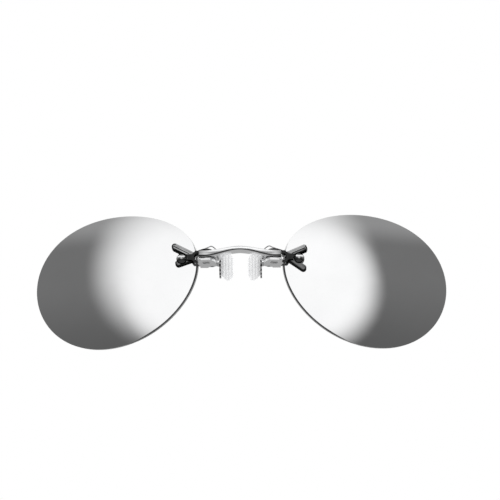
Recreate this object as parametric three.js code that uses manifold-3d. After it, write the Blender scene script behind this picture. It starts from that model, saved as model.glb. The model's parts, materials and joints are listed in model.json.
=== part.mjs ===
// Rimless nose-clip sunglasses: an arched bridge, two spring-hinged wings, mirror lenses and soft pads.
// Millimetres. -Y is the front, +Z up and +X to the right as seen from the front, which is the side
// that the names call right. The origin is midway between the pads.
import * as THREE from "three";
import { mergeVertices } from "three/addons/utils/BufferGeometryUtils.js";
import Module from "manifold-3d";

const wasm = await Module();
wasm.setup();

// Where the hinge axis stands from the origin, and the underside of the bridge's end blocks.
const HINGE_X = 10.7;
const HINGE_Y = -7.4;
const BLOCK_Z = -0.2;

// Bridge: the bar bows forward and arches up between two end blocks.
const BLOCK_END = 2.3;
const BLOCK_FRONT = -3.7;
const BLOCK_REAR = 2.4;
const BLOCK_HEIGHT = 2.0;
const BAR_BOW = 2.5;
const BAR_SPAN = 11.5;
const BAR_DEPTH = 3.8;
const ARCH_UNDER = 1.3;
const ARCH_TOP = 2.6;
const HORN_X = 7.4;
const HORN_REAR = 2.9;

// Hinge: leaves above and below the block, a sleeve, a torsion spring and a screw on one axis.
const LEAF_TOP = 2.2;
const LEAF_UPPER = 0.9;
const LEAF_GAP = 0.2;
const LEAF_LOWER = 0.75;
const BORE = 0.72;
const SHANK = 0.66;
const POCKET_RADIUS = 1.75;
const POCKET_FLOOR = 0.6;
const SLEEVE_RADIUS = 0.95;
const COIL_RADIUS = 1.3;
const WIRE_RADIUS = 0.18;
const COIL_PITCH = 0.38;
const LEG_CREST = 4.1;

// Lens: an egg-shaped outline, its inner end lifted, on a shallow sphere.
const LENS_A = 27.2;
const LENS_B = 20.65;
const LENS_EGG = 0.082;
const LENS_LIFT = 1.0;
const LENS_TILT = THREE.MathUtils.degToRad(-16.8);
const LENS_SPHERE = 130;
const LENS_THICK = 1.9;
const LENS_CLEAR = 0.05;
const LENS_WRAP = THREE.MathUtils.degToRad(7);
const LENS_LEAN = THREE.MathUtils.degToRad(10);
const LENS_CENTRE = new THREE.Vector3(39.8, 4.2, -5.06);
const SEAT_U = -21.2;
const SEAT_W = 5.9;

// Claws in the seat frame: where they leave the neck and where they end, x outward and y up.
const UPPER_ROOT = [-3.3, 1.1];
const LOWER_ROOT = [-3.3, 0.0];
const RIGHT_UPPER_TIP = [1.45, 3.2];
const LEFT_UPPER_TIP = [2.1, 3.9];
const RIGHT_LOWER_TIP = [1.35, -3.1];
const LEFT_LOWER_TIP = [1.05, -1.45];
const CLAW_HALF = 1.02;
const CLAW_FACE = 1.7;
const CHAMFER_RUN = 0.42;
const CHAMFER_DROP = 0.18;
const GROOVE_HALF = 0.14;
const GROOVE_SHIFT = -0.12;
const GROOVE_DEPTH = 0.4;

// Lens screw and what it clamps, measured along its axis.
const BALL_RADIUS = 1.7;
const SCREW_SHANK = 0.55;
const BUSH_RADIUS = 0.8;
const WASHER_RADIUS = 1.35;
const WASHER_THICK = 0.25;
const TONGUE_THICK = 0.7;
const NUT_RADIUS = 1.25;
const NUT_THICK = 0.9;

// Pads: a pierced metal plate and a soft ribbed cushion with a flat crown.
const PAD_Y = 7.4;
const PAD_Z = 0.2;
const PAD_CROWN_X = 2.35;
const PAD_PLATE_X = 6.3;
const PAD_PLATE_THICK = 0.5;
const PAD_HALF_Y = 4.3;
const PAD_HALF_Z = 4.7;
const PAD_THICK = 3.93;
const PAD_BELLY = 0.38;
const PAD_RIBS = 4;
const PAD_RIB_DEPTH = 0.05;
const PLATE_HALF_Y = 3.6;
const PLATE_HALF_Z = 3.7;
const NOTCHES = 6;

function surface(color, roughness, metalness) {
  return new THREE.MeshStandardMaterial({ color, roughness, metalness });
}

const polishedMetal = surface(0xd6d8da, 0.16, 1);
const darkMetal = surface(0x6d6f72, 0.3, 1);
const springSteel = surface(0x8a8c8f, 0.28, 1);
const mirrorLens = surface(0xc4c6c8, 0.05, 1);
const clearRubber = surface(0xf0f1f1, 0.3, 0);
const clearPlastic = surface(0xe6e8e8, 0.25, 0);

// Solid operations on three.js geometries.
function toSolid(geometry) {
  const plain = geometry.clone();
  plain.deleteAttribute("normal");
  plain.deleteAttribute("uv");
  const merged = mergeVertices(plain, 1e-4);
  return new wasm.Manifold(new wasm.Mesh({
    numProp: 3,
    vertProperties: new Float32Array(merged.attributes.position.array),
    triVerts: new Uint32Array(merged.index.array),
  }));
}

function toGeometry(solid) {
  const mesh = solid.getMesh();
  const geometry = new THREE.BufferGeometry();
  const corners = new Float32Array(mesh.vertProperties);
  geometry.setAttribute("position", new THREE.BufferAttribute(corners, 3));
  geometry.setIndex(new THREE.BufferAttribute(new Uint32Array(mesh.triVerts), 1));
  return geometry;
}

function join(...geometries) {
  return toGeometry(geometries.map(toSolid).reduce((a, b) => a.add(b)));
}

function cut(geometry, ...tools) {
  return toGeometry(tools.map(toSolid).reduce((a, b) => a.subtract(b), toSolid(geometry)));
}

function meet(a, b) {
  return toGeometry(toSolid(a).intersect(toSolid(b)));
}

// Swaps left for right and keeps the faces pointing outward.
function mirrored(geometry) {
  const flipped = geometry.clone().applyMatrix4(new THREE.Matrix4().makeScale(-1, 1, 1));
  const indexed = flipped.index ? flipped : mergeVertices(flipped, 1e-6);
  const order = indexed.index.array;
  for (let i = 0; i < order.length; i += 3) {
    [order[i], order[i + 1]] = [order[i + 1], order[i]];
  }
  return indexed;
}

// An outline of [x, y] points raised along Z between two heights.
function slab(points, low, high) {
  const shape = new THREE.Shape(points.map(([x, y]) => new THREE.Vector2(x, y)));
  const geometry = new THREE.ExtrudeGeometry(shape, { depth: high - low, bevelEnabled: false });
  return geometry.translate(0, 0, low);
}

// The same with a shallow chamfer round its upper face.
function chamferedSlab(points, low, high) {
  const shape = new THREE.Shape(points.map(([x, y]) => new THREE.Vector2(x, y)));
  const geometry = new THREE.ExtrudeGeometry(shape, {
    depth: high - low,
    bevelEnabled: true,
    bevelThickness: CHAMFER_DROP,
    bevelSize: CHAMFER_RUN,
    bevelOffset: -CHAMFER_RUN,
    bevelSegments: 1,
  });
  const plain = toSolid(geometry.translate(0, 0, low - CHAMFER_DROP));
  const base = toSolid(slab(points, low, high - CHAMFER_DROP));
  return toGeometry(plain.add(base).trimByPlane([0, 0, 1], low));
}

// An outline of [x, z] points run along Y from the front to the rear.
function slabAlongY(points, front, rear) {
  return slab(points, -rear, -front).rotateX(Math.PI / 2);
}

// A closed profile of [radius, height] points turned about Z.
function turned(profile, segments) {
  const points = profile.map(([r, z]) => new THREE.Vector2(r, z));
  return new THREE.LatheGeometry(points, segments).rotateX(Math.PI / 2);
}

// A rod on the Z axis.
function rod(radius, low, high, segments = 18) {
  const geometry = new THREE.CylinderGeometry(radius, radius, high - low, segments);
  return geometry.rotateX(Math.PI / 2).translate(0, 0, (low + high) / 2);
}

// A flat ring on the Z axis.
function ring(inner, outer, low, high, segments = 22) {
  return turned([[inner, low], [outer, low], [outer, high], [inner, high], [inner, low]], segments);
}

function arcPoints(cx, cy, radius, from, to, steps) {
  const points = [];
  for (let i = 0; i <= steps; i += 1) {
    const angle = THREE.MathUtils.degToRad(from + (to - from) * i / steps);
    points.push([cx + radius * Math.cos(angle), cy + radius * Math.sin(angle)]);
  }
  return points;
}

// A round-ended bar in the XY plane between two points.
function barOutline(x0, y0, r0, x1, y1, r1, steps = 8) {
  const heading = THREE.MathUtils.radToDeg(Math.atan2(y1 - y0, x1 - x0));
  return [
    ...arcPoints(x0, y0, r0, heading + 90, heading + 270, steps),
    ...arcPoints(x1, y1, r1, heading - 90, heading + 90, steps),
  ];
}

function smooth(t) {
  const c = Math.min(1, Math.max(0, t));
  return c * c * (3 - 2 * c);
}

// Bridge, drawn with y = 0 on the hinge axes and z = 0 on the underside of the end blocks.
function bridgeFront(x) {
  return BLOCK_FRONT - BAR_BOW * (1 - smooth(Math.abs(x) / BAR_SPAN));
}

function bridgeRear(x) {
  const ax = Math.abs(x);
  const bar = BLOCK_FRONT - BAR_BOW + BAR_DEPTH + 0.1 * ax;
  return bar + (HORN_REAR - bar) * smooth((ax - 3.2) / (HORN_X - 3.2)) ** 1.6;
}

function bridgePlan() {
  const span = 22;
  const front = [];
  const rear = [];
  for (let i = 0; i <= span; i += 1) {
    const x = BAR_SPAN * (2 * i / span - 1);
    front.push([x, bridgeFront(x)]);
  }
  for (let i = 0; i <= span; i += 1) {
    const x = HORN_X - 2 * HORN_X * i / span;
    rear.push([x, bridgeRear(x)]);
  }
  const end = HINGE_X + BLOCK_END;
  const corner = [
    [end - 0.35, BLOCK_FRONT],
    [end, BLOCK_FRONT + 0.35],
    [end, 1.6],
    [end - 0.8, BLOCK_REAR],
  ];
  const horn = [[HORN_X + 0.9, BLOCK_REAR], [HORN_X + 0.5, HORN_REAR]];
  return [
    ...front,
    ...corner,
    ...horn,
    ...rear,
    ...horn.map(([x, y]) => [-x, y]).reverse(),
    ...corner.map(([x, y]) => [-x, y]).reverse(),
  ];
}

function bridgeElevation() {
  const steps = 24;
  const top = [];
  const under = [];
  for (let i = 0; i <= steps; i += 1) {
    const x = BAR_SPAN * (1 - 2 * i / steps);
    const rise = 1 - smooth(Math.abs(x) / BAR_SPAN);
    top.push([x, BLOCK_HEIGHT + (ARCH_TOP - BLOCK_HEIGHT) * rise]);
    under.push([-x, ARCH_UNDER * rise]);
  }
  return [[14, 0], [14, BLOCK_HEIGHT], ...top, [-14, BLOCK_HEIGHT], [-14, 0], ...under];
}

function bridgeShape() {
  const body = meet(slab(bridgePlan(), -1, 4), slabAlongY(bridgeElevation(), -8, 5));
  const tools = [];
  for (const side of [-1, 1]) {
    tools.push(rod(BORE, -1, 4, 20).translate(side * HINGE_X, 0, 0));
    tools.push(rod(POCKET_RADIUS, POCKET_FLOOR, 4, 24).translate(side * HINGE_X, 0, 0));
    const legSlot = new THREE.BoxGeometry(3.6, 0.7, 2);
    tools.push(legSlot.translate(side * (HINGE_X - 2.0), -COIL_RADIUS, BLOCK_HEIGHT + 0.45));
    const exitSlot = new THREE.BoxGeometry(2.4, 1.0, 4);
    tools.push(exitSlot.translate(side * (HINGE_X + 1.9), 0.2 - COIL_RADIUS, POCKET_FLOOR + 2));
  }
  return cut(body, ...tools);
}

// Frame of the lens: u outward, w up in the lens, n out of its front face.
function lensFrame() {
  const u = new THREE.Vector3(Math.cos(LENS_WRAP), Math.sin(LENS_WRAP), 0);
  const level = new THREE.Vector3(Math.sin(LENS_WRAP), -Math.cos(LENS_WRAP), 0);
  const up = new THREE.Vector3(0, 0, 1);
  const w = up.clone().multiplyScalar(Math.cos(LENS_LEAN)).addScaledVector(level, Math.sin(LENS_LEAN));
  const n = level.clone().multiplyScalar(Math.cos(LENS_LEAN)).addScaledVector(up, -Math.sin(LENS_LEAN));
  return new THREE.Matrix4().makeBasis(u, w, n).setPosition(LENS_CENTRE);
}

// Frame of the lens screw: on the front face at the seat, its Z axis square to the glass.
function seatFrame() {
  const drop = LENS_SPHERE - Math.sqrt(LENS_SPHERE ** 2 - SEAT_U ** 2 - SEAT_W ** 2);
  const point = new THREE.Vector3(SEAT_U, SEAT_W, -drop);
  const normal = point.clone().add(new THREE.Vector3(0, 0, LENS_SPHERE)).normalize();
  const x = new THREE.Vector3(0, 1, 0).cross(normal).normalize();
  const y = normal.clone().cross(x);
  return lensFrame().multiply(new THREE.Matrix4().makeBasis(x, y, normal).setPosition(point));
}

function lensOutline(angle) {
  const along = LENS_A * Math.cos(angle);
  const oval = LENS_B * (1 + LENS_EGG * Math.cos(angle)) * Math.sin(angle);
  const across = oval + LENS_LIFT * Math.min(0, Math.cos(angle)) ** 2;
  const c = Math.cos(LENS_TILT);
  const s = Math.sin(LENS_TILT);
  return [along * c - across * s, along * s + across * c];
}

// A disc of rings, carried onto the outline and bent to the two faces of the lens, grown all round.
function lensBlank(grow) {
  const rings = [0, 0.3, 0.58, 0.82, 0.985];
  const profile = [
    ...rings.map((r) => [r, 1]),
    [1, 0.85],
    [1, 0.15],
    ...rings.slice().reverse().map((r) => [r, 0]),
  ];
  const disc = turned(profile, 52);
  const merged = mergeVertices(toGeometry(toSolid(flipIfInside(disc))), 1e-5);
  const position = merged.attributes.position;
  for (let i = 0; i < position.count; i += 1) {
    const x = position.getX(i);
    const y = position.getY(i);
    const depth = 1 - position.getZ(i);
    const reach = Math.hypot(x, y);
    const [u, w] = lensOutline(Math.atan2(y, x)).map((value) => value * reach * (1 + grow / LENS_B));
    const radius = LENS_SPHERE + grow - (LENS_THICK + 2 * grow) * depth;
    position.setXYZ(i, u, w, Math.sqrt(radius ** 2 - u ** 2 - w ** 2) - LENS_SPHERE);
  }
  return merged.applyMatrix4(lensFrame());
}

function lensShape() {
  const bore = rod(BUSH_RADIUS + 0.05, -4, 3, 20).applyMatrix4(seatFrame());
  return cut(lensBlank(0), bore);
}

// Turns a closed geometry right side out when its faces point inward.
function flipIfInside(geometry) {
  const plain = geometry.clone();
  plain.deleteAttribute("normal");
  plain.deleteAttribute("uv");
  const merged = mergeVertices(plain, 1e-5);
  const p = merged.attributes.position;
  const order = merged.index.array;
  const a = new THREE.Vector3();
  const b = new THREE.Vector3();
  const c = new THREE.Vector3();
  let volume = 0;
  for (let i = 0; i < order.length; i += 3) {
    a.fromBufferAttribute(p, order[i]);
    b.fromBufferAttribute(p, order[i + 1]);
    c.fromBufferAttribute(p, order[i + 2]);
    volume += a.dot(b.cross(c));
  }
  if (volume < 0) {
    for (let i = 0; i < order.length; i += 3) {
      [order[i], order[i + 1]] = [order[i + 1], order[i]];
    }
  }
  return merged;
}

// The two hinge leaves, one under the end block and one over it.
function leafShapes() {
  const lowerPlan = [
    [HORN_X + 0.1, 0.4],
    [HORN_X + 0.9, -1.6],
    [HINGE_X - 1.4, -2.7],
    [HINGE_X + 1.7, -2.7],
    [HINGE_X + 2.5, -2.0],
    [HINGE_X + 2.5, 1.6],
    [HINGE_X + 2.0, 4.3],
    [HORN_X + 1.3, 4.3],
    [HORN_X + 0.1, 3.2],
  ];
  const upperPlan = [
    ...arcPoints(HINGE_X, 0, 2.05, 60, 300, 16),
    [HINGE_X + 2.6, -0.4],
    [HINGE_X + 2.6, 1.4],
  ];
  return [
    slab(lowerPlan, -LEAF_GAP - LEAF_LOWER, -LEAF_GAP),
    slab(upperPlan, LEAF_TOP, LEAF_TOP + LEAF_UPPER),
  ];
}

// The forked neck that joins both leaves to the claws, with the lug that pushes the spring's leg.
function neckShape() {
  const mid = (LEAF_TOP - LEAF_GAP) / 2;
  const half = (LEAF_TOP + LEAF_GAP) / 2;
  const neckOutline = [
    [HINGE_X + 2.4, -LEAF_GAP - LEAF_LOWER],
    [HINGE_X + 3.7, -LEAF_GAP - LEAF_LOWER],
    [HINGE_X + 4.5, mid - 1.0],
    [HINGE_X + 6.2, mid - 0.9],
    [HINGE_X + 6.2, mid + 0.9],
    [HINGE_X + 4.5, mid + 1.0],
    [HINGE_X + 3.5, LEAF_TOP + LEAF_UPPER],
    [HINGE_X + 2.4, LEAF_TOP + LEAF_UPPER],
    ...arcPoints(HINGE_X + 2.75, mid, half, 90, -90, 12),
  ];
  const lug = rod(0.42, 1.15, LEAF_TOP + 0.1).translate(HINGE_X + 2.95, 0.55, 0);
  return join(slabAlongY(neckOutline, -0.1, 1.45), lug);
}

// A bar in the XY plane with a round root and a square end.
function squareBar(x0, y0, x1, y1, half) {
  const heading = Math.atan2(y1 - y0, x1 - x0);
  const along = [Math.cos(heading), Math.sin(heading)];
  const tip = [x1 + half * along[0], y1 + half * along[1]];
  const corner = (side, back) => [
    tip[0] - back * along[0] - side * half * along[1],
    tip[1] - back * along[1] + side * half * along[0],
  ];
  const degrees = THREE.MathUtils.radToDeg(heading);
  return [
    ...arcPoints(x0, y0, half, degrees + 90, degrees + 270, 8),
    corner(-1, 0.45),
    corner(-0.55, 0),
    corner(0.55, 0),
    corner(1, 0.45),
  ];
}

// The groove along a claw, to the lower side of its middle line.
function grooveOutline(root, tip) {
  const length = Math.hypot(tip[0] - root[0], tip[1] - root[1]);
  const along = [(tip[0] - root[0]) / length, (tip[1] - root[1]) / length];
  const at = (run) => [
    root[0] + run * along[0] - GROOVE_SHIFT * along[1],
    root[1] + run * along[1] + GROOVE_SHIFT * along[0],
  ];
  return barOutline(...at(1.1), GROOVE_HALF, ...at(length + 0.3), GROOVE_HALF, 3);
}

// Bracket: hinge leaves, neck, two claws on the front of the lens and a tongue behind it.
function bracketShape(upperOutline, upperTip, lowerTip) {
  const place = seatFrame();
  const lowerOutline = barOutline(...LOWER_ROOT, CLAW_HALF, ...lowerTip, CLAW_HALF);
  const claws = [
    chamferedSlab(upperOutline, 0.06, CLAW_FACE),
    chamferedSlab(lowerOutline, 0.06, CLAW_FACE - 0.3),
  ].map((geometry) => geometry.applyMatrix4(place));
  const back = -LENS_THICK - WASHER_THICK;
  const tonguePlan = barOutline(0, 0, 1.5, -7.2, -1.0, 0.9);
  const tongue = slab(tonguePlan, back - TONGUE_THICK, back - 0.02).applyMatrix4(place);
  const lug = new THREE.BoxGeometry(2.6, 1.5, 1.25).translate(HINGE_X + 0.8, 4.25, -0.32);
  const body = join(...leafShapes(), neckShape(), ...claws, tongue, lug);
  const groove = grooveOutline(UPPER_ROOT, upperTip);
  const tools = [
    rod(BORE, -2, 4, 20).translate(HINGE_X, 0, 0),
    rod(1.2, -2, -LEAF_GAP - 0.35, 20).translate(HINGE_X, 0, 0),
    rod(SCREW_SHANK + 0.05, -6, 4).applyMatrix4(place),
    rod(BALL_RADIUS + 0.1, -0.1, 3).applyMatrix4(place),
    slab(groove, CLAW_FACE - GROOVE_DEPTH, 3).applyMatrix4(place),
    rod(0.47, -2, 1, 20).translate(HORN_X + 1.6, 3.6, 0),
    lensBlank(LENS_CLEAR),
  ];
  return cut(body, ...tools);
}

// Hinge screw: slotted head let into the lower leaf, shank up to the top of the upper leaf.
function hingeScrewShape() {
  const head = -LEAF_GAP - LEAF_LOWER;
  const seat = -LEAF_GAP - 0.37;
  const top = LEAF_TOP + LEAF_UPPER + 0.15;
  const profile = [
    [0, head],
    [1.1, head],
    [1.15, head + 0.05],
    [1.15, seat],
    [SHANK, seat],
    [SHANK, top],
    [0, top],
  ];
  const slot = new THREE.BoxGeometry(3, 0.42, 0.6).rotateZ(0.6).translate(0, 0, head);
  return cut(flipIfInside(turned(profile, 20)), slot).translate(HINGE_X, 0, 0);
}

function hingeWasherShape() {
  return flipIfInside(ring(BORE + 0.05, 1.9, -LEAF_GAP + 0.02, -0.02)).translate(HINGE_X, 0, 0);
}

function hingeSleeveShape() {
  const sleeve = ring(BORE + 0.03, SLEEVE_RADIUS, POCKET_FLOOR + 0.01, LEAF_TOP - 0.02);
  return flipIfInside(sleeve).translate(HINGE_X, 0, 0);
}

// Torsion spring: a hairpin leg over the upper leaf, three turns round the sleeve and a leg to the neck.
function springPath() {
  const base = POCKET_FLOOR + WIRE_RADIUS + 0.05;
  const turns = 3;
  const top = base + turns * COIL_PITCH;
  const points = [
    [0.5, -1.2, LEG_CREST - 0.75],
    [-0.6, -1.28, LEG_CREST - 0.4],
    [-1.5, -1.35, LEG_CREST],
    [-2.5, -1.4, LEG_CREST - 0.55],
    [-3.2, -1.4, LEG_CREST - 1.35],
    [-3.0, -1.36, top + 0.1],
    [-2.2, -COIL_RADIUS, top],
    [-1.0, -COIL_RADIUS, top],
  ].map((point) => new THREE.Vector3(...point));
  const steps = 18 * turns;
  for (let i = 0; i <= steps; i += 1) {
    const angle = -Math.PI / 2 + 2 * Math.PI * turns * i / steps;
    const z = top - turns * COIL_PITCH * i / steps;
    points.push(new THREE.Vector3(COIL_RADIUS * Math.cos(angle), COIL_RADIUS * Math.sin(angle), z));
  }
  points.push(new THREE.Vector3(1.5, 0.03 - COIL_RADIUS, base));
  points.push(new THREE.Vector3(2.6, -1.0, base));
  points.push(new THREE.Vector3(3.4, -0.4, base));
  return new THREE.CatmullRomCurve3(points, false, "centripetal");
}

function springShape() {
  const wire = new THREE.Shape();
  wire.absarc(0, 0, WIRE_RADIUS, 0, 2 * Math.PI, false);
  const options = { steps: 84, curveSegments: 3, extrudePath: springPath(), bevelEnabled: false };
  const geometry = new THREE.ExtrudeGeometry(wire, options);
  return geometry.translate(HINGE_X, 0, 0);
}

// Lens screw: a domed head between the claws and a shank through the lens, tongue and nut.
function lensScrewShape() {
  const tip = -LENS_THICK - WASHER_THICK - TONGUE_THICK - NUT_THICK - 0.25;
  const seat = WASHER_THICK + 0.02;
  const shank = [
    [0, tip],
    [SCREW_SHANK - 0.1, tip],
    [SCREW_SHANK, tip + 0.1],
    [SCREW_SHANK, seat],
    [BALL_RADIUS * 0.93, seat],
  ];
  const arc = arcPoints(0, seat + 0.45, BALL_RADIUS, -8, 90, 9);
  const dome = arc.map(([r, z]) => [Math.max(0, r), z]);
  return flipIfInside(turned([...shank, ...dome], 24)).applyMatrix4(seatFrame());
}

function washerShape(radius, low, high) {
  return flipIfInside(ring(SCREW_SHANK + 0.04, radius, low, high, 20)).applyMatrix4(seatFrame());
}

function nutShape() {
  const back = -LENS_THICK - WASHER_THICK - TONGUE_THICK - 0.02;
  const nut = rod(NUT_RADIUS, back - NUT_THICK, back, 6);
  return cut(nut, rod(SCREW_SHANK + 0.03, back - 2, back + 1)).applyMatrix4(seatFrame());
}

// Carries a shape drawn in XY and raised along Z onto YZ, raised along X.
function ontoX(scaleY, scaleZ) {
  return new THREE.Matrix4().makeBasis(
    new THREE.Vector3(0, scaleY, 0),
    new THREE.Vector3(0, 0, scaleZ),
    new THREE.Vector3(1, 0, 0),
  );
}

// An oval in the YZ plane, run along X.
function ovalPlate(halfY, halfZ, low, high) {
  const shape = new THREE.Shape();
  shape.absellipse(0, 0, halfY, halfZ, 0, 2 * Math.PI, false, 0);
  const options = { depth: high - low, bevelEnabled: false, curveSegments: 12 };
  const geometry = new THREE.ExtrudeGeometry(shape, options).translate(0, 0, low);
  return geometry.applyMatrix4(ontoX(1, 1));
}

// Pad arm: the pierced plate behind the cushion and a tab lying on the lower leaf.
function padArmShape() {
  const outer = PAD_PLATE_X + PAD_PLATE_THICK;
  const plate = ovalPlate(PLATE_HALF_Y, PLATE_HALF_Z, PAD_PLATE_X, outer).translate(0, PAD_Y, PAD_Z);
  const tabPlan = [
    [PAD_PLATE_X, 3.15],
    [HORN_X + 2.6, 3.15],
    [HORN_X + 2.6, 4.2],
    [HORN_X + 1.2, 5.0],
    [PAD_PLATE_X, 6.4],
  ];
  const tab = slab(tabPlan, -LEAF_GAP + 0.01, -LEAF_GAP + 0.5);
  const tools = [];
  for (const [y, z] of [[-1.9, 1.7], [-1.9, -1.7], [1.9, 1.7], [1.9, -1.7], [0, 2.9], [0, -2.7]]) {
    const hole = ovalPlate(0.5, 0.5, PAD_PLATE_X - 1, PAD_PLATE_X + 2);
    tools.push(hole.translate(0, PAD_Y + y, PAD_Z + z));
  }
  for (let i = 0; i < NOTCHES; i += 1) {
    const angle = THREE.MathUtils.degToRad(170 + 110 * i / (NOTCHES - 1));
    const y = PAD_Y + PLATE_HALF_Y * Math.cos(angle);
    const z = PAD_Z + PLATE_HALF_Z * Math.sin(angle);
    tools.push(rod(0.36, -3, 3, 10).rotateY(Math.PI / 2).translate(PAD_PLATE_X, y, z));
  }
  tools.push(rod(0.47, -2, 2, 20).translate(HORN_X + 1.6, 3.6, 0));
  return cut(join(plate, tab), ...tools);
}

function padRivetShape() {
  const foot = -LEAF_GAP - LEAF_LOWER + 0.02;
  const top = -LEAF_GAP + 0.52;
  const profile = [
    [0, foot],
    [0.42, foot],
    [0.42, top],
    [0.7, top],
    [0.7, top + 0.13],
    [0.5, top + 0.28],
    [0, top + 0.28],
  ];
  return flipIfInside(turned(profile, 20)).translate(HORN_X + 1.6, 3.6, 0);
}

// Cushion: rings along X, each a scaled oval, widest at the belly, ribbed, closing on a flat crown.
function padReach(t) {
  const crown = 1 - 0.42 * (Math.max(0, PAD_BELLY - t) / PAD_BELLY) ** 2.2;
  const heel = 1 - 0.42 * (Math.max(0, t - PAD_BELLY) / (1 - PAD_BELLY)) ** 2;
  const rib = 0.5 - 0.5 * Math.cos(2 * Math.PI * PAD_RIBS * t);
  return crown * heel * (1 - PAD_RIB_DEPTH * rib);
}

function padShape() {
  const steps = 4 * PAD_RIBS;
  const profile = [[0, PAD_THICK]];
  for (let i = steps; i >= 0; i -= 1) {
    profile.push([padReach(i / steps), PAD_THICK * i / steps]);
  }
  profile.push([0, 0]);
  const body = flipIfInside(turned(profile, 28));
  return body.applyMatrix4(ontoX(PAD_HALF_Y, PAD_HALF_Z)).translate(PAD_CROWN_X, PAD_Y, PAD_Z);
}

const model = new THREE.Group();
model.name = "nose_clip_sunglasses";
const frame = new THREE.Group();
frame.name = "hinge_frame";
frame.position.set(0, HINGE_Y, BLOCK_Z);
model.add(frame);

function add(name, geometry, material) {
  const mesh = new THREE.Mesh(geometry, material);
  mesh.name = name;
  frame.add(mesh);
}

function addPair(name, geometry, material) {
  add(`right_${name}`, geometry, material);
  add(`left_${name}`, mirrored(geometry), material);
}

const rightUpper = squareBar(...UPPER_ROOT, ...RIGHT_UPPER_TIP, CLAW_HALF);
const leftUpper = barOutline(...UPPER_ROOT, CLAW_HALF, ...LEFT_UPPER_TIP, CLAW_HALF);
const rightBracket = bracketShape(rightUpper, RIGHT_UPPER_TIP, RIGHT_LOWER_TIP);
const leftBracket = bracketShape(leftUpper, LEFT_UPPER_TIP, LEFT_LOWER_TIP);
const back = -LENS_THICK;
add("bridge", bridgeShape(), polishedMetal);
add("right_lens_bracket", rightBracket, darkMetal);
add("left_lens_bracket", mirrored(leftBracket), darkMetal);
addPair("lens", lensShape(), mirrorLens);
addPair("hinge_screw", hingeScrewShape(), darkMetal);
addPair("hinge_washer", hingeWasherShape(), polishedMetal);
addPair("hinge_sleeve", hingeSleeveShape(), polishedMetal);
addPair("hinge_spring", springShape(), springSteel);
addPair("lens_screw", lensScrewShape(), darkMetal);
addPair("lens_front_washer", washerShape(WASHER_RADIUS, 0.02, WASHER_THICK), clearPlastic);
addPair("lens_bush", washerShape(BUSH_RADIUS, back + 0.05, -0.03), clearPlastic);
addPair("lens_rear_washer", washerShape(WASHER_RADIUS, back - WASHER_THICK, back - 0.1), clearPlastic);
addPair("lens_nut", nutShape(), darkMetal);
addPair("pad_arm", padArmShape(), polishedMetal);
addPair("pad_rivet", padRivetShape(), darkMetal);
addPair("nose_pad", padShape(), clearRubber);

export default model;
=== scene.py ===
"""Rimless nose-clip sunglasses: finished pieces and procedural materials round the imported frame."""
import bpy, bmesh, json, math
from mathutils import Matrix, Vector


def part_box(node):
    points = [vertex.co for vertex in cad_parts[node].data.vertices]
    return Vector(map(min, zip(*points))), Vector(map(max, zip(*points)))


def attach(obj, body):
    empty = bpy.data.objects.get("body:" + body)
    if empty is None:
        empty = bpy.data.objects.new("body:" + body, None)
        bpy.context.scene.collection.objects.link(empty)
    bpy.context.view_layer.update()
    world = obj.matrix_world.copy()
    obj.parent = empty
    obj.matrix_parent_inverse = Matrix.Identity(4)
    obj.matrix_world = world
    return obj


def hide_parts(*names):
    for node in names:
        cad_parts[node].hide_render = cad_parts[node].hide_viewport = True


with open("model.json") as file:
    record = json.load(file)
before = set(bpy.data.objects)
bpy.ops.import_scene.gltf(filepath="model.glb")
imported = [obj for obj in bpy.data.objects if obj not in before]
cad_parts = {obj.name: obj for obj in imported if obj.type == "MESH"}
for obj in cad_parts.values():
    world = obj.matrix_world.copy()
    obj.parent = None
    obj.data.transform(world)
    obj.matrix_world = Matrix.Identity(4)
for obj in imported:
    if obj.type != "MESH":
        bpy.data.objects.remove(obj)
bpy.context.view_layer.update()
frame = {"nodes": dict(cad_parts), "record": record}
NODES = frame["nodes"]
MM = 0.001
scene = bpy.context.scene

# The CAD's driving dimensions, in millimetres.
HINGE = Vector((10.7, -7.4, -0.2))
LENS_A, LENS_B, LENS_EGG, LENS_LIFT = 27.2, 20.65, 0.082, 1.0
LENS_TILT = math.radians(-16.8)
LENS_SPHERE, LENS_THICK = 130.0, 1.9
LENS_WRAP, LENS_LEAN = math.radians(7), math.radians(10)
LENS_CENTRE = Vector((39.8, 4.2, -5.06)) + Vector((0, HINGE.y, HINGE.z))
SEAT_U, SEAT_W = -21.2, 5.9
CLAW_ROOT = Vector((-3.3, 1.1))
CLAW_TIP_RIGHT, CLAW_TIP_LEFT = Vector((1.45, 3.2)), Vector((2.1, 3.9))
GROOVE_SHIFT = -0.12
SCREW_SHANK, BALL_RADIUS = 0.55, 1.7
PAD_NEAR, PAD_DEPTH, PAD_RIBS, PAD_RIB_DEPTH, PAD_BELLY = 2.35, 3.93, 4, 0.05, 0.38
PLATE_Y, PLATE_Z, PLATE_HALF_Y, PLATE_HALF_Z, NOTCHES = 7.4, 0.2, 3.6, 3.7, 6
BLOCK_END, BLOCK_FRONT, BLOCK_HEIGHT = 2.3, -3.7, 2.0
BAR_BOW, BAR_SPAN, ARCH_UNDER, ARCH_RISE = 2.5, 11.5, 1.3, 0.6
HORN_X, HORN_REAR = 7.4, 2.9
BORE, POCKET_RADIUS, POCKET_FLOOR = 0.72, 1.75, 0.6

# Sizes of the finish: the bevel by an angle and shares of the lens's reach, the rest as above.
BEVEL_WIDEST, BEVEL_LEAST, BEVEL_LOBE = math.radians(222), 0.0015, 0.019
GROOVE_START = 0.9
SCREW_TIP, SCREW_SEAT = -4.0, 0.27
BAR_REAR, BAR_SPREAD, HORN_RUN = -2.4, 0.1, 4.2


# ---------------------------------------------------------------- shader helpers
NOISE_LOW, NOISE_HIGH = 0.3, 0.7


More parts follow.
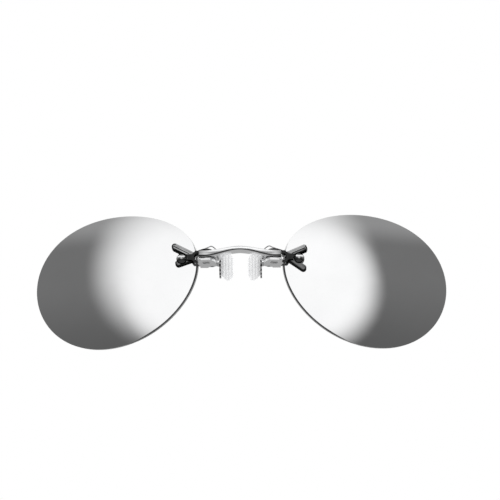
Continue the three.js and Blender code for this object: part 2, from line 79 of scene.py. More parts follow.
class Graph:
    """A material's node tree with short calls for the nodes used here."""

    def __init__(self, name):
        self.mat = bpy.data.materials.new(name)
        self.mat.use_nodes = True
        self.tree = self.mat.node_tree
        self.bsdf = self.tree.nodes["Principled BSDF"]
        self.place = self.add("ShaderNodeTexCoord").outputs["Object"]

    def add(self, kind, **values):
        node = self.tree.nodes.new(kind)
        for key, value in values.items():
            setattr(node, key, value)
        return node

    def link(self, a, b):
        self.tree.links.new(a, b)

    def noise(self, scale, detail=3.0, rough=0.5, stretch=None):
        source = self.place
        if stretch:
            mapping = self.add("ShaderNodeMapping")
            mapping.inputs["Scale"].default_value = stretch
            self.link(source, mapping.inputs["Vector"])
            source = mapping.outputs["Vector"]
        node = self.add("ShaderNodeTexNoise")
        node.inputs["Scale"].default_value = scale
        node.inputs["Detail"].default_value = detail
        node.inputs["Roughness"].default_value = rough
        self.link(source, node.inputs["Vector"])
        return node.outputs["Fac"]

    def remap(self, fac, low, high, new_low, new_high):
        node = self.add("ShaderNodeMapRange")
        ends = {"From Min": low, "From Max": high, "To Min": new_low, "To Max": new_high}
        for key, value in ends.items():
            node.inputs[key].default_value = value
        self.link(fac, node.inputs["Value"])
        return node.outputs["Result"]

    def ramp(self, fac, stops):
        node = self.add("ShaderNodeValToRGB")
        node.color_ramp.elements[0].position = stops[0][0]
        node.color_ramp.elements[0].color = (*stops[0][1], 1)
        node.color_ramp.elements[1].position = stops[-1][0]
        node.color_ramp.elements[1].color = (*stops[-1][1], 1)
        for position, colour in stops[1:-1]:
            node.color_ramp.elements.new(position).color = (*colour, 1)
        self.link(fac, node.inputs["Fac"])
        return node.outputs["Color"]

    def bump(self, height, strength, distance):
        node = self.add("ShaderNodeBump")
        node.inputs["Strength"].default_value = strength
        node.inputs["Distance"].default_value = distance
        self.link(height, node.inputs["Height"])
        self.link(node.outputs["Normal"], self.bsdf.inputs["Normal"])

    def scaled(self, colour, scale):
        node = self.add("ShaderNodeVectorMath", operation="SCALE")
        self.link(colour, node.inputs[0])
        self.link(scale, node.inputs["Scale"])
        return node.outputs["Vector"]

    def axis(self, source, name):
        split = self.add("ShaderNodeSeparateXYZ")
        self.link(source, split.inputs[0])
        return split.outputs[name]

    def math(self, operation, *values):
        node = self.add("ShaderNodeMath", operation=operation)
        for socket, value in zip(node.inputs, values):
            self.link(value, socket)
        return node.outputs[0]

    def feed(self, socket, value):
        """Drives one of the surface's inputs by another node."""
        self.link(value, self.bsdf.inputs[socket])

    def across_noise(self, fac, low, high):
        """A value that runs from low to high over the middle of a noise's range."""
        return self.remap(fac, NOISE_LOW, NOISE_HIGH, low, high)

    def mottled(self, fac, dark, light):
        """A grey that runs from dark to light over the middle of a noise's range."""
        return self.ramp(fac, [(NOISE_LOW, grey(dark)), (NOISE_HIGH, grey(light))])

    def from_middle(self):
        """Distance from the middle plane, X = 0."""
        return self.math("ABSOLUTE", self.axis(self.place, "X"))

    def shaded_outward(self, colour, near, far, least):
        """Painted shade: a colour scaled down between two distances in millimetres from the middle
        plane.
        """
        return self.scaled(colour, self.remap(self.from_middle(), near * MM, far * MM, 1.0, least))

    def shaded_by_facing(self, colour, direction, low, high, low_tone, high_tone):
        """Painted light and shade: a colour scaled by how far the surface faces a direction fixed in
        the object.
        """
        dot = self.add("ShaderNodeVectorMath", operation="DOT_PRODUCT")
        self.link(self.add("ShaderNodeTexCoord").outputs["Normal"], dot.inputs[0])
        dot.inputs[1].default_value = direction
        tone = self.remap(dot.outputs["Value"], low, high, low_tone, high_tone)
        return self.scaled(colour, tone)

    def set(self, **values):
        for key, value in values.items():
            self.bsdf.inputs[key.replace("_", " ")].default_value = value


def grey(value):
    return (value, value * 1.003, value * 1.008)


def metal(name, dark, light, rough_low, rough_high, grain, scratch, ends=None, facing=None):
    """Metal with cloudy tone, uneven polish, fine grain lines and a few hairline scratches, and
    optional painted shade.
    """
    g = Graph(name)
    g.set(Metallic=1.0)
    clouds = g.noise(420, 4, 0.6)
    lines = g.noise(900, 2, 0.5, (0.12, 1.0, 1.6))
    tone = g.mottled(clouds, dark, light)
    # Painted shade: the tone darkens between two distances from the middle plane.
    if ends:
        tone = g.shaded_outward(tone, *ends)
    # Painted light and shade: the tone scales with how far the surface faces a fixed direction.
    if facing:
        tone = g.shaded_by_facing(tone, *facing)
    g.feed("Base Color", tone)
    g.feed("Roughness", g.across_noise(lines, rough_low, rough_high))
    marks = g.noise(1600, 1, 0.3, (0.05, 1.0, 0.6))
    raised = g.remap(lines, 0.35, 0.65, 0.0, grain)
    scored = g.remap(marks, 0.66, 0.72, 0.0, -scratch)
    g.bump(g.math("ADD", raised, scored), 0.25, 0.02 * MM)
    return g.mat


def mirror_coat():
    """Front of the lens: a silver coating with faint haze and wiping marks in its polish."""
    g = Graph("mirror_coat")
    g.set(Metallic=1.0, Coat_Weight=0.2, Coat_Roughness=0.02)
    haze = g.noise(60, 5, 0.6)
    wipes = g.noise(140, 3, 0.5, (0.25, 1.0, 1.2))
    g.feed("Base Color", g.mottled(haze, 0.80, 0.84))
    g.feed("Roughness", g.remap(wipes, 0.35, 0.7, 0.035, 0.075))
    return g.mat


def smoke_glass(name, low, high, rough, shine, painted_light_gain):
    """Dark smoke tint, with painted light making it lighter near the middle plane where it faces up
    or lies within the neck.
    """
    g = Graph(name)
    g.set(Coat_Weight=0.3, Coat_Roughness=0.05, IOR=1.5, Specular_IOR_Level=shine)
    tone = g.mottled(g.noise(80, 4), low, high)
    normal = g.add("ShaderNodeTexCoord").outputs["Normal"]
    # Painted light: the tone is scaled up where the surface faces up or lies within the neck, near
    # the middle plane.
    facing_up = g.remap(g.axis(normal, "Z"), -0.1, 0.25, 0.0, 1.0)
    in_neck = g.remap(g.axis(g.place, "Z"), -0.8 * MM, -0.3 * MM, 0.0, 1.0)
    inner = g.remap(g.from_middle(), 16 * MM, 28 * MM, 1.0, 0.0)
    pale = g.math("MULTIPLY", g.math("MAXIMUM", facing_up, in_neck), inner)
    tone = g.scaled(tone, g.remap(pale, 0.0, 1.0, 1.0, painted_light_gain))
    g.feed("Base Color", tone)
    g.feed("Roughness", g.across_noise(g.noise(260, 3), rough * 0.7, rough * 1.4))
    return g.mat


def clear(name, tint, rough, ior, milk):
    """Clear moulding with flow marks, a slightly matt skin and a little milkiness."""
    g = Graph(name)
    g.set(IOR=ior, Transmission_Weight=milk)
    tone = g.mottled(g.noise(300, 3), tint, min(1.0, tint * 1.05))
    g.feed("Base Color", tone)
    flow = g.noise(240, 2, 0.4, (1.0, 0.5, 0.3))
    g.feed("Roughness", g.across_noise(flow, rough * 0.7, rough * 1.3))
    g.bump(flow, 0.1, 0.02 * MM)
    return g.mat


def ribbed_rubber():
    """Clear soft moulding, a little milky, with painted shade: greyer down in the grooves between its
    ribs, and a faint painted glow.
    """
    g = Graph("clear_rubber")
    # The emission is a painted glow: the pad gives off its own tone.
    g.set(IOR=1.32, Alpha=0.85, Emission_Strength=0.17)
    turns = 2 * math.pi * PAD_RIBS
    phase = g.remap(g.from_middle(), PAD_NEAR * MM, (PAD_NEAR + PAD_DEPTH) * MM, 0.0, turns)
    # Painted shade: the tone goes greyer down in the grooves between the ribs.
    groove = g.remap(g.math("COSINE", phase), -1.0, -0.2, 1.0, 0.0)
    cloud = g.across_noise(g.noise(260, 3), -0.04, 0.04)
    tone = g.ramp(g.math("ADD", groove, cloud), [(0.0, grey(0.96)), (1.0, grey(0.76))])
    g.feed("Base Color", tone)
    g.feed("Emission Color", tone)
    flow = g.noise(240, 2, 0.4, (1.0, 0.5, 0.3))
    g.feed("Roughness", g.across_noise(flow, 0.16, 0.28))
    return g.mat


MATERIALS = {
    "polished_metal": metal("polished_metal", 0.74, 0.84, 0.10, 0.20, 0.5, 0.6),
    "dark_metal": metal("dark_metal", 0.17, 0.27, 0.16, 0.28, 0.8, 0.9),
    "spring_steel": metal("spring_steel", 0.34, 0.44, 0.18, 0.30, 0.8, 0.3),
    "clear_plastic": clear("clear_plastic", 0.9, 0.12, 1.46, 0.85),
    "clear_rubber": ribbed_rubber(),
    "mirror_lens": mirror_coat(),
}
# Painted shade on the bridge: its tone darkens towards the ends and along the front lower edge that
# faces FRONT_EDGE.
FRONT_EDGE = (0, -math.cos(math.radians(38)), -math.sin(math.radians(38)))
UP = (0, 0, 1)
BRIDGE_METAL = metal("bridge_metal", 0.86, 0.93, 0.10, 0.20, 0.5, 0.6,
                     ends=(9.3, 13.0, 0.3), facing=(FRONT_EDGE, 0.84, 0.95, 1.0, 0.1))
# Painted reflection on the ball heads: the lower half is painted dark, the upper half stays light.
BALL_METAL = metal("ball_metal", 0.72, 0.8, 0.08, 0.14, 0.3, 0.3,
                   facing=(UP, -0.42, 0.1, 0.1, 1.0))
HEAD_METAL = metal("head_metal", 0.5, 0.6, 0.12, 0.2, 0.3, 0.5)
# Shaded, lit and black copies of the bracket's metal, for painted shade, painted light and painted
# shadow.
CLAW_SHADED = metal("claw_shaded", 0.11, 0.18, 0.16, 0.26, 0.8, 0.9)
CLAW_LIT = metal("claw_bright", 0.30, 0.42, 0.14, 0.24, 0.6, 0.9)
CLAW_SHADOW = metal("claw_shadow", 0.02, 0.05, 0.2, 0.3, 0.6, 0.4)
# The black painted shadow is kept dark at grazing angles too.
SHADOW_SHADER = CLAW_SHADOW.node_tree.nodes["Principled BSDF"]
SHADOW_SHADER.inputs["Specular Tint"].default_value = (0.05, 0.05, 0.05, 1)
PLATE_METAL = metal("plate_metal", 0.46, 0.6, 0.16, 0.28, 0.6, 0.6)
LENS_BACK = smoke_glass("smoke_back", 0.018, 0.03, 0.07, 0.5, 1.0)
# The lens's ground edge: painted light makes it up to 13 times lighter where it faces up near the
# middle.
LENS_EDGE = smoke_glass("smoke_edge", 0.045, 0.075, 0.3, 0.25, 13.0)
SLOT = {s["node"]: s["material_slot"] for s in frame["record"]["subparts"]}


# ---------------------------------------------------------------- mesh helpers
def new_object(name, bm, materials, body, slot, *nodes):
    """An object from a bmesh that rides its body and replaces the CAD nodes given."""
    bmesh.ops.recalc_face_normals(bm, faces=bm.faces)
    mesh = bpy.data.meshes.new(name)
    bm.to_mesh(mesh)
    bm.free()
    for material in materials:
        mesh.materials.append(material)
    obj = bpy.data.objects.new(name, mesh)
    scene.collection.objects.link(obj)
    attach(obj, body)
    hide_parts(*nodes)
    return obj


def smooth_by_angle(mesh, degrees):
    """Smooth shading with hard edges where two faces meet at more than the given angle."""
    bm = bmesh.new()
    bm.from_mesh(mesh)
    for face in bm.faces:
        face.smooth = True
    for edge in bm.edges:
        edge.smooth = len(edge.link_faces) == 2 and edge.calc_face_angle(0) < math.radians(degrees)
    bm.to_mesh(mesh)
    bm.free()


def body_of_node(node):
    """The springs stay with the bridge; every other piece of a side swings with its wing."""
    if node.startswith("right") and "spring" not in node:
        return "right_wing"
    if node.startswith("left") and "spring" not in node:
        return "left_wing"
    return "bridge"


def refined(node, width, segments=2, dissolve=0.8, smooth=32):
    """A finished copy of a CAD node: flat faces made whole, edges rounded, curved faces smooth."""
    bm = bmesh.new()
    bm.from_mesh(NODES[node].data)
    bmesh.ops.remove_doubles(bm, verts=bm.verts, dist=2e-6)
    bmesh.ops.dissolve_limit(bm, angle_limit=math.radians(dissolve), verts=bm.verts, edges=bm.edges)
    slot = SLOT[node]
    obj = new_object(f"{node}_finished", bm, [MATERIALS[slot]], body_of_node(node), slot, node)
    if width:
        bevel = obj.modifiers.new("edges", "BEVEL")
        bevel.width, bevel.segments = width * MM, segments
        bevel.limit_method, bevel.angle_limit = "ANGLE", math.radians(35)
    smooth_by_angle(obj.data, smooth)
    return obj


def rings_to_faces(bm, rings, material=0):
    """Joins each ring of vertices to the next one with four-sided faces."""
    for a, b in zip(rings, rings[1:]):
        n = len(a)
        for i in range(n):
            face = bm.faces.new((a[i], a[(i + 1) % n], b[(i + 1) % n], b[i]))
            face.material_index = material


def close_ring(bm, ring, middle, material=0):
    """Fills a ring of vertices with triangles round one vertex in its middle."""
    n = len(ring)
    for i in range(n):
        bm.faces.new((ring[i], ring[(i + 1) % n], middle)).material_index = material


def mirrored(v, side):
    """The vector itself for side 1, and its mirror image across X = 0 for side -1."""
    return Vector((v.x * side, v.y, v.z))


def smooth(t):
    """Eases from 0 to 1 as t does, level at both ends."""
    c = min(1.0, max(0.0, t))
    return c * c * (3 - 2 * c)


# ---------------------------------------------------------------- lenses
def lens_frame():
    """The right lens's own frame: X along it, Y up it and Z out of the top of its dome."""
    u = Vector((math.cos(LENS_WRAP), math.sin(LENS_WRAP), 0))
    level = Vector((math.sin(LENS_WRAP), -math.cos(LENS_WRAP), 0))
    up = Vector((0, 0, 1))
    w = up * math.cos(LENS_LEAN) + level * math.sin(LENS_LEAN)
    n = level * math.cos(LENS_LEAN) - up * math.sin(LENS_LEAN)
    m = Matrix((u, w, n)).transposed().to_4x4()
    m.translation = LENS_CENTRE
    return m


def outline(angle):
    """The lens's edge in its own frame: a tilted oval, fuller at one end."""
    along = LENS_A * math.cos(angle)
    across = LENS_B * (1 + LENS_EGG * math.cos(angle)) * math.sin(angle)
    across += LENS_LIFT * min(0.0, math.cos(angle)) ** 2
    c, s = math.cos(LENS_TILT), math.sin(LENS_TILT)
    return along * c - across * s, along * s + across * c


def lens_point(angle, reach, depth, side):
    """A point at a share of the outline's reach and of the thickness behind the front."""
    u, w = (v * reach for v in outline(angle))
    radius = LENS_SPHERE - LENS_THICK * depth
    p = lens_frame() @ Vector((u, w, math.sqrt(radius ** 2 - u * u - w * w) - LENS_SPHERE))
    return mirrored(p, side) * MM


def lens(side, name):
    """A domed disc made of rings, each at a share of the outline and of the thickness."""
    bm = bmesh.new()
    count = 160
    turns = [2 * math.pi * i / count for i in range(count)]
    coat, back, ground = 0, 1, 2

    def ring(reach, depth):
        return [bm.verts.new(lens_point(angle, reach, depth, side)) for angle in turns]

    def rim(share, depth):
        """A ring near the edge; the ground bevel it bounds is widest on the lower inner side."""
        verts = []
        for angle in turns:
            lobe = smooth((math.cos(angle - BEVEL_WIDEST) - 0.6) / 0.25)
            reach = 0.9965 - share * (BEVEL_LEAST + BEVEL_LOBE * lobe)
            verts.append(bm.verts.new(lens_point(angle, reach, depth, side)))
        return verts

    reaches = [0.12, 0.24, 0.36, 0.48, 0.6, 0.7, 0.8, 0.88, 0.93, 0.96]
    front = [*(ring(r, 0.0) for r in reaches), rim(1.3, 0.0), rim(1.0, 0.0)]
    bevel = [front[-1], rim(0.6, 0.008), rim(0.25, 0.03)]
    edge = [ring(r, d) for r, d in ((0.9963, 0.06), (0.9963, 0.84), (0.991, 0.94))]
    rear = [ring(r, 1.0) for r in (0.982, *reversed(reaches))]
    rings_to_faces(bm, front, material=coat)
    rings_to_faces(bm, [*bevel, *edge, rear[0]], material=ground)
    rings_to_faces(bm, rear, material=back)
    for loop, depth, index in ((front[0], 0.0, coat), (rear[-1], 1.0, back)):
        close_ring(bm, loop, bm.verts.new(lens_point(0, 0, depth, side)), index)
    obj = new_object(f"{name}_lens_finished", bm, [MATERIALS["mirror_lens"], LENS_BACK, LENS_EDGE],
                     f"{name}_wing", "mirror_lens", f"{name}_lens")
    smooth_by_angle(obj.data, 12)
    return obj


# ---------------------------------------------------------------- lens screws
def seat_frame():
    """The right lens screw's frame: its origin on the lens's front, Z straight out of it."""
    drop = LENS_SPHERE - math.sqrt(LENS_SPHERE ** 2 - SEAT_U ** 2 - SEAT_W ** 2)
    point = Vector((SEAT_U, SEAT_W, -drop))
    normal = (point + Vector((0, 0, LENS_SPHERE))).normalized()
    x = Vector((0, 1, 0)).cross(normal).normalized()
    y = normal.cross(x)
    m = Matrix((x, y, normal)).transposed().to_4x4()
    m.translation = point
    return lens_frame() @ m


def turned(name, profile, place, side, body, slot, node, count=56):
    """A closed profile of (radius, height) in millimetres, turned about a placement's Z axis."""
    bm = bmesh.new()

    def at(r, z, i):
        a = 2 * math.pi * i / count
        p = place @ Vector((r * math.cos(a), r * math.sin(a), z))
        return bm.verts.new(mirrored(p, side) * MM)

    rings = [[at(r, z, i) for i in range(count)] for r, z in profile if r > 1e-6]
    rings_to_faces(bm, rings)
    for loop, (r, z) in ((rings[0], profile[0]), (rings[-1], profile[-1])):
        close_ring(bm, loop, at(0, z, 0))
    obj = new_object(name, bm, [MATERIALS[slot]], body, slot, node)
    smooth_by_angle(obj.data, 40)
    return obj


def lens_screw(side, name):
    """A ball head on a plain shank with a chamfered tip."""
    centre, chamfer = SCREW_SEAT + 0.45, 0.1
    dome = []
    for degrees in range(-8, 90, 7):
        a = math.radians(degrees)
        dome.append((BALL_RADIUS * math.cos(a), centre + BALL_RADIUS * math.sin(a)))
    profile = [
        (0, SCREW_TIP),
        (SCREW_SHANK - chamfer, SCREW_TIP),
        (SCREW_SHANK, SCREW_TIP + chamfer),
        (SCREW_SHANK, SCREW_SEAT),
        (BALL_RADIUS * 0.93, SCREW_SEAT),
        *dome,
        (0, centre + BALL_RADIUS),
    ]
    node = f"{name}_lens_screw"
    body = f"{name}_wing"
    obj = turned(f"{node}_finished", profile, seat_frame(), side, body, "dark_metal", node)
    obj.data.materials[0] = BALL_METAL
    return obj


# ---------------------------------------------------------------- nose pads
def nose_pad(side, name):
    """Soft pad: fine rings along X, each an oval that narrows to the bottom, with rounded ribs."""
    lo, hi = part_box(f"{name}_nose_pad")
    centre = (lo + hi) / 2 / MM
    half_y, half_z = (hi.y - lo.y) / 2 / MM, (hi.z - lo.z) / 2 / MM
    crown = min(abs(lo.x), abs(hi.x)) / MM
    depth = (max(abs(lo.x), abs(hi.x)) - crown * MM) / MM
    bm = bmesh.new()
    count, steps = 96, 44

    def reach(t):
        dome = 1 - 0.42 * (max(0.0, PAD_BELLY - t) / PAD_BELLY) ** 2.2
        heel = 1 - 0.42 * (max(0.0, t - PAD_BELLY) / (1 - PAD_BELLY)) ** 2
        rib = 0.5 - 0.5 * math.cos(2 * math.pi * PAD_RIBS * t)
        return dome * heel * (1 - PAD_RIB_DEPTH * rib)

    rings = []
    for k in range(steps + 1):
        t = k / steps
        ring = []
        for i in range(count):
            a = 2 * math.pi * i / count
            taper = 1 - 0.12 * max(0.0, -math.sin(a)) ** 2
            y = centre.y + half_y * reach(t) * math.cos(a) * taper
            z = centre.z + half_z * reach(t) * math.sin(a)
            ring.append(bm.verts.new(Vector((side * (crown + depth * t), y, z)) * MM))
        rings.append(ring)
    rings_to_faces(bm, rings)
    bm.faces.new(rings[0])
    bm.faces.new(rings[-1])
    node = f"{name}_nose_pad"
    rubber = "clear_rubber"
    obj = new_object(f"{node}_finished", bm, [MATERIALS[rubber]], f"{name}_wing", rubber, node)
    smooth_by_angle(obj.data, 50)
    return obj


# ---------------------------------------------------------------- brackets and pad arms
def finish_bracket(obj, side):
    """Polished leaves, and painted light and shade: black painted shadow on front and lower walls,
    lit claw tops above the groove, shaded ones below.
    """
    for material in (MATERIALS["polished_metal"], CLAW_SHADED, CLAW_LIT, CLAW_SHADOW):
        obj.data.materials.append(material)
    leaf, dull, bright, black = 1, 2, 3, 4
    seat = seat_frame().inverted()
    run = (CLAW_TIP_RIGHT if side > 0 else CLAW_TIP_LEFT) - CLAW_ROOT
    forward = run.normalized()
    upward = Vector((-forward.y, forward.x))
    leaf_end, neck_front = (HINGE.x + 2.55) * MM, (HINGE.y + 0.2) * MM
    groove_half, groove_floor, claw_top, near_tip = 0.16, 1.25, 1.69, 2.0
    for face in obj.data.polygons:
        at = seat @ (mirrored(face.center, side) / MM)
        facing = seat.to_3x3() @ mirrored(face.normal, side)
        along = (at.xy - CLAW_ROOT).dot(forward)
        across = (at.xy - CLAW_ROOT).dot(upward)
        above_groove = along > GROOVE_START and across > GROOVE_SHIFT
        in_groove = abs(across - GROOVE_SHIFT) < groove_half and along > GROOVE_START
        in_front = face.normal.y < -0.5
        # Painted shadow: the upper leaf's front walls are black; the rest of the leaves are polished.
        if abs(face.center.x) < leaf_end:
            face.material_index = black if in_front and face.center.z > HINGE.z * MM else leaf
        elif at.z < 0:
            continue
        # Painted shadow: black on the neck's front, in the groove and on the claws' lower walls.
        elif face.center.y < neck_front and in_front:
            face.material_index = black
        elif in_groove and groove_floor < at.z < claw_top:
            face.material_index = black
        elif facing.y < -0.15:
            face.material_index = black
        # Painted highlight: the claws' end faces take the polished metal.
        elif facing.x > 0.6 and along > near_tip and across > GROOVE_SHIFT:
            face.material_index = leaf
        # Painted light and shade: claw tops are lit above the groove and shaded below it.
        elif facing.z > 0.6:
            face.material_index = bright if above_groove else dull


def finish_pad_arm(obj):
    """A bright plate whose edge notches are black inside, a painted shadow in the recesses."""
    obj.data.materials[0] = PLATE_METAL
    obj.data.materials.append(CLAW_SHADOW)
    first, last, notch_radius = 170, 280, 0.37
    for face in obj.data.polygons:
        y = face.center.y / MM - HINGE.y - PLATE_Y
        z = face.center.z / MM - HINGE.z - PLATE_Z
        for i in range(NOTCHES):
            a = math.radians(first + (last - first) * i / (NOTCHES - 1))
            away = math.hypot(y - PLATE_HALF_Y * math.cos(a), z - PLATE_HALF_Z * math.sin(a))
            if away < notch_radius:
                face.material_index = 1 if abs(face.normal.x) < 0.5 else 0


# ---------------------------------------------------------------- bridge
def bridge_section(x, inset):
    """The bar's outline in Y and Z at one station, its corners rounded and its front leaning."""
    end, ax = HINGE.x + BLOCK_END, abs(x)
    rise = 1 - smooth(ax / BAR_SPAN)
    front = BLOCK_FRONT - BAR_BOW * rise
    if ax > HORN_X:
        step = smooth((ax - HORN_X - 0.5) / 0.4) + smooth((ax - end + 0.8) / 0.8)
        rear = HORN_REAR - 0.5 * step
    else:
        bar = BAR_REAR + BAR_SPREAD * ax
        rear = bar + (HORN_REAR - bar) * smooth((ax - HORN_X + HORN_RUN) / HORN_RUN) ** 1.6
    y0, y1 = front + inset + 0.01, rear - inset
    z0, z1 = ARCH_UNDER * rise + inset, BLOCK_HEIGHT + ARCH_RISE * rise - inset
    lean = math.tan(math.radians(10)) * (1 - smooth(ax / 12.0))
    low, small, big = min(0.58, (z1 - z0) * 0.42), 0.12, min(0.42, (z1 - z0) * 0.3)
    corners = [
        (y0 + low, z0 + low, low, 180),
        (y1 - small, z0 + small, small, 270),
        (y1 - small, z1 - small, small, 0),
        (y0 + big, z1 - big, big, 90),
    ]
    points, steps = [], 6
    for cy, cz, r, start in corners:
        for k in range(steps + 1):
            a = math.radians(start + 90 * k / steps)
            y, z = cy + r * math.cos(a), cz + r * math.sin(a)
            if y < y0 + 1.0:
                y += lean * (z - z0) * (1 - (y - y0))
            points.append((y, z))
    return points


def hinge_cuts():
    """The bore, the spring's pocket and its two leg slots, as rods and boxes about the hinge."""
    deep = 4
    yield "rod", BORE, -1, deep
    yield "rod", POCKET_RADIUS, POCKET_FLOOR, deep
    yield "box", (-2.0, -1.3, 2.45), (3.6, 0.7, 2)
    yield "box", (1.9, -1.1, 2.6), (2.4, 1.0, deep)


def bridge():
    """The bar and its end blocks as one loft of rounded sections, with the hinge pockets cut in."""
    end, steps = HINGE.x + BLOCK_END, 150
    caps = [(0.25, 0.0), (0.17, 0.02), (0.1, 0.06), (0.04, 0.13), (0.01, 0.22)]
    first, length = caps[0][0] - end, 2 * (end - caps[0][0])
    stations = [
        *((-end + d, inset) for d, inset in reversed(caps)),
        *((first + length * i / steps, 0.0) for i in range(1, steps)),
        *((end - d, inset) for d, inset in caps),
    ]
    bm = bmesh.new()
    rings = []
    for x, inset in stations:
        places = [Vector((x, y + HINGE.y, z + HINGE.z)) for y, z in bridge_section(x, inset)]
        rings.append([bm.verts.new(place * MM) for place in places])
    rings_to_faces(bm, rings)
    bm.faces.new(rings[0])
    bm.faces.new(rings[-1])
    obj = new_object("bridge_finished", bm, [BRIDGE_METAL], "bridge", "polished_metal", "bridge")
    for side in (1, -1):
        centre = Vector((side * HINGE.x, HINGE.y, HINGE.z))
        for kind, *size in hinge_cuts():
            tool = bmesh.new()
            if kind == "rod":
                radius, low, high = size
                bmesh.ops.create_cone(tool, cap_ends=True, segments=48, radius1=radius * MM,
                                      radius2=radius * MM, depth=(high - low) * MM)
                shift = centre + Vector((0, 0, (low + high) / 2))
            else:
                place, extent = size
                bmesh.ops.create_cube(tool, size=MM)
                bmesh.ops.scale(tool, vec=extent, verts=tool.verts)
                shift = centre + Vector((side * place[0], place[1], place[2]))
            bmesh.ops.translate(tool, vec=shift * MM, verts=tool.verts)
            carve(obj, tool)
    smooth_by_angle(obj.data, 40)
    return obj


def carve(obj, tool):
    """Takes a bmesh solid away from an object's own mesh."""
    mesh = bpy.data.meshes.new("tool")
    tool.to_mesh(mesh)
    tool.free()
    cutter = bpy.data.objects.new("tool", mesh)
    scene.collection.objects.link(cutter)
    modifier = obj.modifiers.new("carve", "BOOLEAN")
    modifier.operation = "DIFFERENCE"
    modifier.solver = "EXACT"
    modifier.object = cutter
    bpy.context.view_layer.update()
    done = bpy.data.meshes.new_from_object(obj.evaluated_get(bpy.context.evaluated_depsgraph_get()))
    obj.modifiers.remove(modifier)
    obj.data = done
    bpy.data.objects.remove(cutter)


# ---------------------------------------------------------------- assembly
for side, name in ((1, "right"), (-1, "left")):
    lens(side, name)
    lens_screw(side, name)
    nose_pad(side, name)
    finish_bracket(refined(f"{name}_lens_bracket", 0.1, 3, smooth=42), side)
    finish_pad_arm(refined(f"{name}_pad_arm", 0.06, 2))
    refined(f"{name}_hinge_screw", 0.04, 2).data.materials[0] = HEAD_METAL
    refined(f"{name}_lens_nut", 0.08, 2)
    refined(f"{name}_pad_rivet", 0.04, 2)
    refined(f"{name}_hinge_washer", 0.03, 1)
    refined(f"{name}_hinge_sleeve", 0.03, 1)
    refined(f"{name}_hinge_spring", 0, dissolve=0.0, smooth=70)
    for small in ("lens_front_washer", "lens_rear_washer", "lens_bush"):
        refined(f"{name}_{small}", 0.03, 1)
bridge()


# ---------------------------------------------------------------- stage
def floor():
    """A wide pale ground far below, unseen in reflections."""
    half, drop = 12, 1.2
    bm = bmesh.new()
    bmesh.ops.create_grid(bm, x_segments=2, y_segments=2, size=half)
    mesh = bpy.data.meshes.new("floor")
    bm.to_mesh(mesh)
    bm.free()
    obj = bpy.data.objects.new("floor", mesh)
    obj.location = (0, 0, -drop)
    scene.collection.objects.link(obj)
    g = Graph("floor")
    tone = g.mottled(g.noise(3, 2), 0.86, 0.89)
    g.feed("Base Color", tone)
    g.set(Roughness=0.9)
    mesh.materials.append(g.mat)
    obj.visible_glossy = False


def direction(azimuth, elevation):
    """A unit vector from degrees right of the front, -Y, and degrees up."""
    a, e = math.radians(azimuth), math.radians(elevation)
    return Vector((math.sin(a) * math.cos(e), -math.cos(a) * math.cos(e), math.sin(e)))


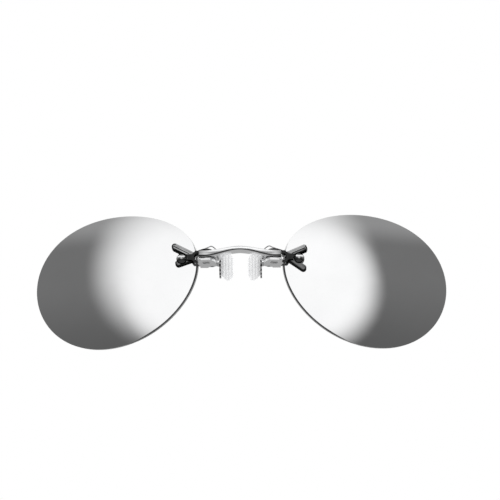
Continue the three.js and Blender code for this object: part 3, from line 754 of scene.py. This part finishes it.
def studio():
    """White to the camera; reflections show soft lights in front, grey sides, white behind."""
    world = bpy.data.worlds.new("studio")
    scene.world = world
    world.use_nodes = True
    tree = world.node_tree
    tree.nodes.clear()

    def add(kind, **values):
        node = tree.nodes.new(kind)
        for key, value in values.items():
            setattr(node, key, value)
        return node

    def mix(fac, a, b):
        node = add("ShaderNodeMix", data_type="FLOAT")
        for key, value in ((0, fac), (2, a), (3, b)):
            if isinstance(value, (int, float)):
                node.inputs[key].default_value = value
            else:
                tree.links.new(value, node.inputs[key])
        return node.outputs[0]

    def remap(value, low, high, a=0.0, b=1.0):
        node = add("ShaderNodeMapRange", interpolation_type="SMOOTHSTEP")
        for key, v in (("From Min", low), ("From Max", high), ("To Min", a), ("To Max", b)):
            node.inputs[key].default_value = v
        tree.links.new(value, node.inputs["Value"])
        return node.outputs["Result"]

    coord = add("ShaderNodeTexCoord").outputs["Generated"]
    split = add("ShaderNodeSeparateXYZ")
    tree.links.new(coord, split.inputs[0])
    height, depth = split.outputs["Z"], split.outputs["Y"]

    def disc(azimuth, elevation, inner, outer):
        """One within the inner angle round a direction, falling to nought at the outer angle."""
        node = add("ShaderNodeVectorMath", operation="DOT_PRODUCT")
        node.inputs[1].default_value = direction(azimuth, elevation)
        tree.links.new(coord, node.inputs[0])
        low, high = math.cos(math.radians(outer)), math.cos(math.radians(inner))
        return remap(node.outputs["Value"], low, high)

    # In front, going up: ground, grey walls, a bright band with a round light, a dark ceiling.
    base = remap(height, -0.42, 0.02, 0.125, 0.185)
    base = mix(remap(height, -0.75, -0.5), 0.5, base)
    front = mix(remap(height, 0.17, 0.30), base, 0.33)
    front = mix(disc(2.0, 42.0, 8.0, 26.0), front, 0.9)
    front = mix(remap(height, 0.36, 0.50), front, 1.1)
    front = mix(remap(height, 0.80, 0.90), front, 0.16)
    # Two soft round lights in front, near the level of the piece.
    front = mix(disc(-4.0, 2.0, 0.0, 28.0), front, 1.15)
    front = mix(disc(2.2, -4.5, 11.0, 23.5), front, 1.16)
    # Behind, white above and grey below.
    behind = mix(remap(height, -0.2, 0.05), 0.45, 1.0)
    level = mix(remap(depth, -0.15, 0.15), front, behind)
    backdrop = remap(height, -0.01, 0.13, 0.76, 1.0)
    level = mix(add("ShaderNodeLightPath").outputs["Is Camera Ray"], level, backdrop)
    background = add("ShaderNodeBackground")
    tree.links.new(level, background.inputs["Strength"])
    output = add("ShaderNodeOutputWorld")
    tree.links.new(background.outputs[0], output.inputs["Surface"])
    background.inputs["Color"].default_value = (1, 1, 1, 1)


def camera():
    """In front and 20 degrees below, a little to the right."""
    distance, level, shift_right, shift_up = 0.378, -0.0042, 0.00296, 0.00936
    back = direction(1.07, -20)
    rotation = (-back).to_track_quat("-Z", "Y")
    right, up = rotation @ Vector((1, 0, 0)), rotation @ Vector((0, 1, 0))
    target = Vector((0, 0, level)) + right * shift_right + up * shift_up
    data = bpy.data.cameras.new("camera")
    data.lens, data.sensor_width = 85, 36
    data.clip_start, data.clip_end = 0.01, 10
    obj = bpy.data.objects.new("camera", data)
    scene.collection.objects.link(obj)
    obj.location = target + back * distance
    obj.rotation_mode = "QUATERNION"
    obj.rotation_quaternion = rotation
    scene.camera = obj


floor()
studio()
camera()
scene.view_settings.view_transform = "Standard"
